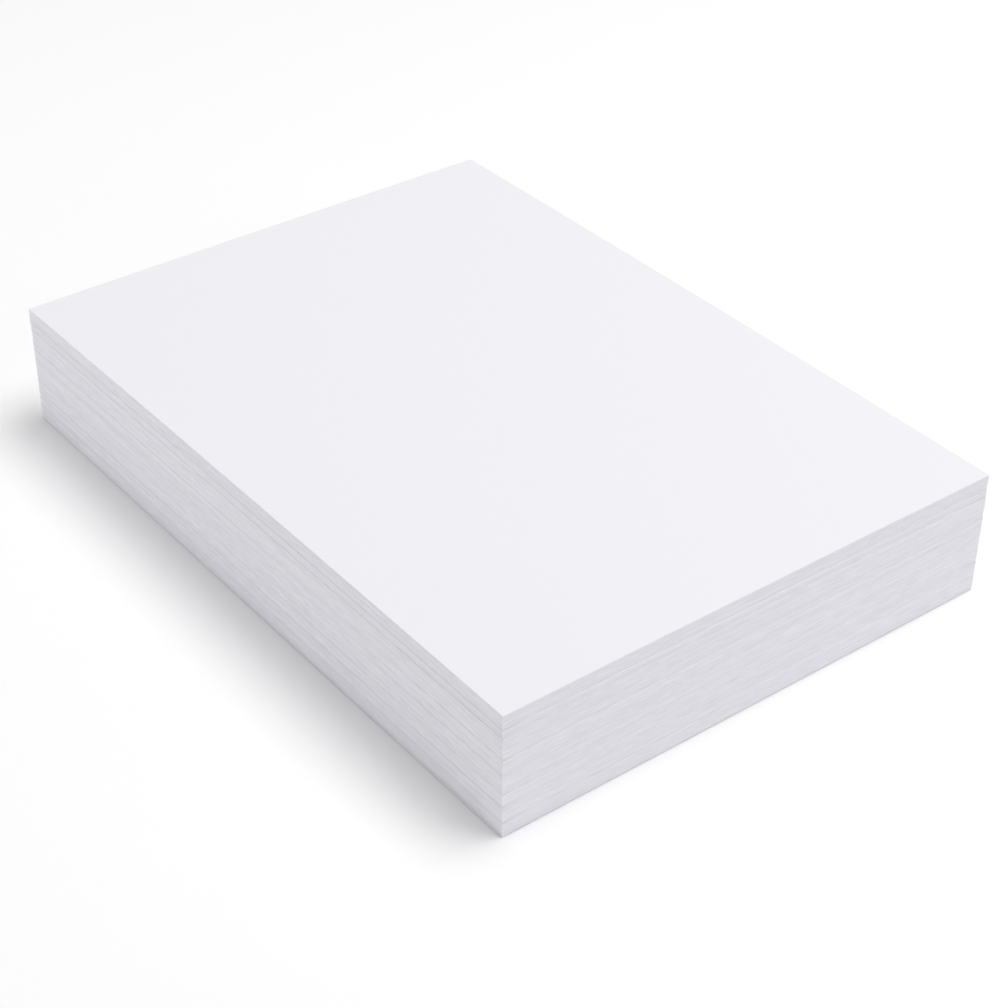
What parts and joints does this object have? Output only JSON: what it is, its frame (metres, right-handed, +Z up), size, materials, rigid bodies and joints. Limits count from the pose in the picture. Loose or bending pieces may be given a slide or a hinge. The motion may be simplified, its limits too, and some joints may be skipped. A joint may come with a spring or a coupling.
{
  "type": "ream of paper",
  "caption": "Unwrapped ream of plain white A4 office paper, a squared-up stack of loose sheets lying flat.",
  "frame": {"origin": "middle of the stack's base, on the table it lies on", "axes": "+Z up through the thickness, +Y along the long edge, +X along the short edge"},
  "size_m": [0.2104, 0.2974, 0.05],
  "materials": {
    "paper": "matt uncoated, cool bright white"
  },
  "bodies": {
    "root": {"sheet_stack": "paper"}
  },
  "joints": []
}
